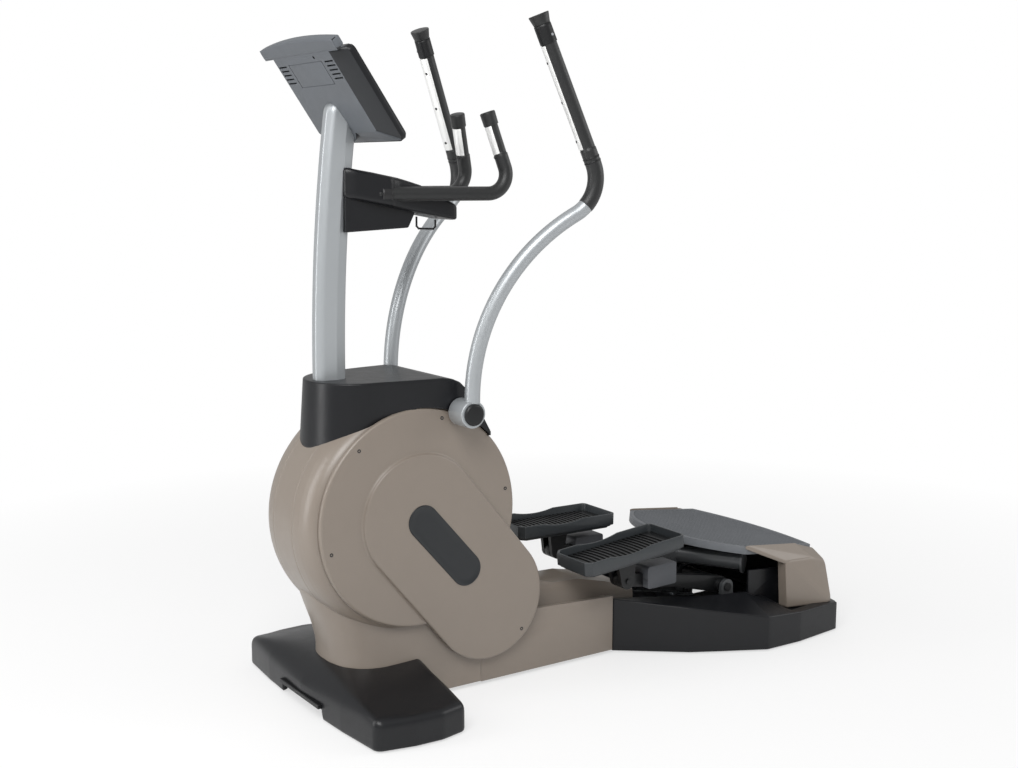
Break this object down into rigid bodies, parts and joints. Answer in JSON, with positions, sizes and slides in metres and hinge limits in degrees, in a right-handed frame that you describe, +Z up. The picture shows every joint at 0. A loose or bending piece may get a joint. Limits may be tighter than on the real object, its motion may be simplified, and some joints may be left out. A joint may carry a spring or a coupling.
{
  "type": "elliptical trainer",
  "caption": "Compact elliptical trainer: round front drive housing on a wide foot, console mast with pulse bars, swinging arms, ribbed pedals on levers hinged under a rear step.",
  "frame": {"origin": "on the floor, at the centre of the footprint", "axes": "+Z up, +X to the rear of the machine; the user faces -X with their left at -Y"},
  "size_m": [1.6189, 0.748, 1.6834],
  "materials": {
    "taupe_shell": "satin taupe moulded plastic",
    "charcoal_plastic": "fine-grained charcoal plastic",
    "grey_housing": "satin mid-grey plastic",
    "step_plastic": "matte dark grey plastic",
    "tread": "ribbed soft rubber",
    "silver_paint": "satin silver paint",
    "grip_rubber": "satin black rubber",
    "sensor_metal": "brushed stainless",
    "display": "gloss smoked window",
    "key_green": "satin key",
    "key_red": "satin key",
    "key_grey": "satin key",
    "black_steel": "semi-gloss black powder coat",
    "bright_steel": "machined steel",
    "cast_iron": "turned cast iron",
    "pulley": "black pulley",
    "belt": "ribbed drive belt",
    "rubber_foot": "black rubber",
    "copper": "lacquered coil and steel yoke",
    "wheel": "hard black plastic"
  },
  "bodies": {
    "machine": {"frame": "black_steel", "front_foot": "charcoal_plastic", "front_shell": "taupe_shell", "left_side_cover": "taupe_shell", "right_side_cover": "taupe_shell", "beam_cover": "taupe_shell", "neck_cover": "charcoal_plastic", "mast": "silver_paint", "console_housing": "grey_housing", "console_bezel": "charcoal_plastic", "console_display": "display", "handlebar_bracket": "charcoal_plastic", "towel_hook": "black_steel", "left_pulse_bar": "grip_rubber", "right_pulse_bar": "grip_rubber", "pulse_sensors": "sensor_metal", "rear_base": "charcoal_plastic", "rear_panel": "charcoal_plastic", "step_platform": "step_plastic", "left_pillar": "taupe_shell", "right_pillar": "taupe_shell", "rubber_feet": "rubber_foot", "cover_screws": "black_steel", "arm_axle": "black_steel", "lever_shaft": "black_steel", "brake_magnet": "copper", "shaft_bearings": "bright_steel", "drive_belt": "belt"},
    "start_key": {"start_key": "key_green"},
    "stop_key": {"stop_key": "key_red"},
    "up_key": {"up_key": "key_grey"},
    "down_key": {"down_key": "key_grey"},
    "enter_key": {"enter_key": "key_grey"},
    "crank": {"crankshaft": "bright_steel", "crank_pulley": "pulley"},
    "flywheel": {"flywheel": "cast_iron", "flywheel_pulley": "pulley"},
    "left_lever": {"left_lever": "black_steel", "left_knuckle_cover": "grey_housing"},
    "right_lever": {"right_lever": "black_steel", "right_knuckle_cover": "grey_housing"},
    "left_pedal": {"left_pedal": "step_plastic", "left_tread": "tread", "left_pedal_bracket": "black_steel"},
    "right_pedal": {"right_pedal": "step_plastic", "right_tread": "tread", "right_pedal_bracket": "black_steel"},
    "left_rod": {"left_rod": "bright_steel"},
    "right_rod": {"right_rod": "bright_steel"},
    "left_arm": {"left_arm": "silver_paint", "left_arm_grip": "grip_rubber", "left_arm_sensor": "sensor_metal", "left_hub_cap": "charcoal_plastic"},
    "right_arm": {"right_arm": "silver_paint", "right_arm_grip": "grip_rubber", "right_arm_sensor": "sensor_metal", "right_hub_cap": "charcoal_plastic"},
    "left_arm_link": {"left_arm_link": "bright_steel"},
    "right_arm_link": {"right_arm_link": "bright_steel"},
    "wheels": {"transport_wheels": "wheel"}
  },
  "joints": [
    {"name": "left_lever_swing", "type": "hinge", "parent": "machine", "child": "left_lever", "pos_m": [0.462, -0.16, 0.148], "axis": [0, 1, 0], "range_deg": [-8, 8]},
    {"name": "right_lever_swing", "type": "hinge", "parent": "machine", "child": "right_lever", "pos_m": [0.462, 0.16, 0.148], "axis": [0, 1, 0], "range_deg": [-8, 8]},
    {"name": "left_pedal_tilt", "type": "hinge", "parent": "left_lever", "child": "left_pedal", "pos_m": [0.11518, -0.16, 0.21807], "axis": [0, 1, 0], "range_deg": [-5, 5]},
    {"name": "right_pedal_tilt", "type": "hinge", "parent": "right_lever", "child": "right_pedal", "pos_m": [0.11686, 0.16, 0.22592], "axis": [0, 1, 0], "range_deg": [-5, 5]},
    {"name": "left_rod_pivot", "type": "hinge", "parent": "left_lever", "child": "left_rod", "pos_m": [0.46277, -0.036, 0.08], "axis": [0, 1, 0], "range_deg": [-8, 8]},
    {"name": "right_rod_pivot", "type": "hinge", "parent": "right_lever", "child": "right_rod", "pos_m": [0.46123, 0.036, 0.08], "axis": [0, 1, 0], "range_deg": [-8, 8]},
    {"name": "left_arm_swing", "type": "hinge", "parent": "machine", "child": "left_arm", "pos_m": [-0.394, -0.17, 0.727], "axis": [0, 1, 0], "range_deg": [-10, 10]},
    {"name": "right_arm_swing", "type": "hinge", "parent": "machine", "child": "right_arm", "pos_m": [-0.394, 0.17, 0.727], "axis": [0, 1, 0], "range_deg": [-10, 10]},
    {"name": "left_arm_link_pivot", "type": "hinge", "parent": "left_arm", "child": "left_arm_link", "pos_m": [-0.35594, -0.079, 0.70925], "axis": [0, 1, 0], "range_deg": [-10, 10]},
    {"name": "right_arm_link_pivot", "type": "hinge", "parent": "right_arm", "child": "right_arm_link", "pos_m": [-0.35594, 0.079, 0.70925], "axis": [0, 1, 0], "range_deg": [-10, 10]},
    {"name": "crank_spin", "type": "hinge", "parent": "machine", "child": "crank", "pos_m": [-0.306, 0, 0.237], "axis": [0, 1, 0], "continuous": true},
    {"name": "flywheel_spin", "type": "hinge", "parent": "machine", "child": "flywheel", "pos_m": [-0.499, 0, 0.47], "axis": [0, 1, 0], "continuous": true},
    {"name": "wheel_spin", "type": "hinge", "parent": "machine", "child": "wheels", "pos_m": [-0.728, 0, 0.034], "axis": [0, 1, 0], "continuous": true},
    {"name": "start_key_press", "type": "slide", "parent": "machine", "child": "start_key", "axis": [-0.8231, 0, -0.5678], "range_m": [0, 0.0012], "stiffness_N_per_m": 300},
    {"name": "stop_key_press", "type": "slide", "parent": "machine", "child": "stop_key", "axis": [-0.8231, 0, -0.5678], "range_m": [0, 0.0012], "stiffness_N_per_m": 300},
    {"name": "up_key_press", "type": "slide", "parent": "machine", "child": "up_key", "axis": [-0.8231, 0, -0.5678], "range_m": [0, 0.0012], "stiffness_N_per_m": 300},
    {"name": "down_key_press", "type": "slide", "parent": "machine", "child": "down_key", "axis": [-0.8231, 0, -0.5678], "range_m": [0, 0.0012], "stiffness_N_per_m": 300},
    {"name": "enter_key_press", "type": "slide", "parent": "machine", "child": "enter_key", "axis": [-0.8231, 0, -0.5678], "range_m": [0, 0.0012], "stiffness_N_per_m": 300}
  ],
  "couplings": [
    {"joint": "right_lever_swing", "follows": "left_lever_swing", "ratio": -1},
    {"joint": "left_pedal_tilt", "follows": "left_lever_swing", "ratio": -0.6},
    {"joint": "right_pedal_tilt", "follows": "left_lever_swing", "ratio": 0.6},
    {"joint": "left_rod_pivot", "follows": "left_lever_swing", "ratio": -1},
    {"joint": "right_rod_pivot", "follows": "left_lever_swing", "ratio": 1},
    {"joint": "left_arm_swing", "follows": "left_lever_swing", "ratio": 1.25},
    {"joint": "right_arm_swing", "follows": "left_lever_swing", "ratio": -1.25},
    {"joint": "left_arm_link_pivot", "follows": "left_lever_swing", "ratio": -1.25},
    {"joint": "right_arm_link_pivot", "follows": "left_lever_swing", "ratio": 1.25},
    {"joint": "flywheel_spin", "follows": "crank_spin", "ratio": 4.8}
  ]
}
